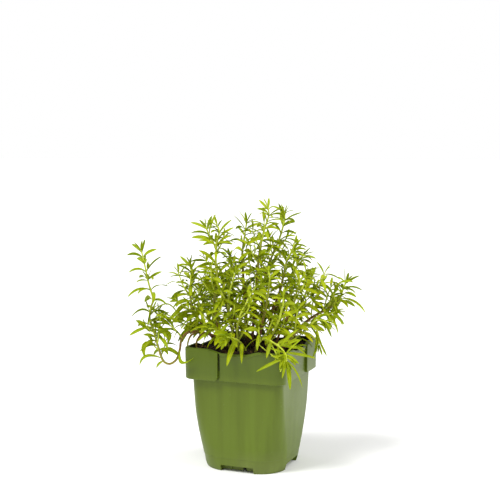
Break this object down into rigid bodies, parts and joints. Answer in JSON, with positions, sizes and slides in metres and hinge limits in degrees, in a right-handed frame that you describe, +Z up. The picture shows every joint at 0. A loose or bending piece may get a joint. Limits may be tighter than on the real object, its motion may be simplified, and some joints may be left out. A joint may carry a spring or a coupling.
{
  "type": "potted winter savory",
  "caption": "Bushy winter savory with narrow arching leaves and trailing stems, growing from dark soil in a square green nursery pot with a deep collar.",
  "frame": {"origin": "on the ground under the middle of the pot, at the centre of its foot", "axes": "+Z up, X and Y square to the pot's sides; the picture looks along +Y turned 21 degrees, so that the -Y side and the +X side show"},
  "size_m": [0.1935, 0.132, 0.2349],
  "materials": {
    "pot": "smooth moulded green plastic, slightly satin",
    "soil": "dark crumbly peat compost",
    "leafy_stem": "bright yellow-green leaves on pale green stems that turn red-brown at the base"
  },
  "bodies": {
    "root": {"pot": "pot", "soil": "soil", "stem_far_left": "leafy_stem", "stem_left": "leafy_stem", "stem_left_fork": "leafy_stem", "stem_middle_back": "leafy_stem", "stem_tall": "leafy_stem", "stem_tall_back": "leafy_stem", "stem_right_tall": "leafy_stem", "stem_right_back": "leafy_stem", "stem_right_front": "leafy_stem", "stem_right": "leafy_stem", "stem_far_right": "leafy_stem", "stem_low_right": "leafy_stem", "stem_front": "leafy_stem", "stem_over_corner": "leafy_stem", "stem_front_left": "leafy_stem", "stem_front_low": "leafy_stem", "stem_front_right": "leafy_stem", "stem_inner_left": "leafy_stem", "stem_inner_right": "leafy_stem", "stem_inner_back": "leafy_stem", "stem_back_left": "leafy_stem", "stem_back": "leafy_stem", "stem_back_right": "leafy_stem", "stem_low_left": "leafy_stem", "stem_low_back": "leafy_stem", "stem_low_back_right": "leafy_stem"}
  },
  "joints": []
}
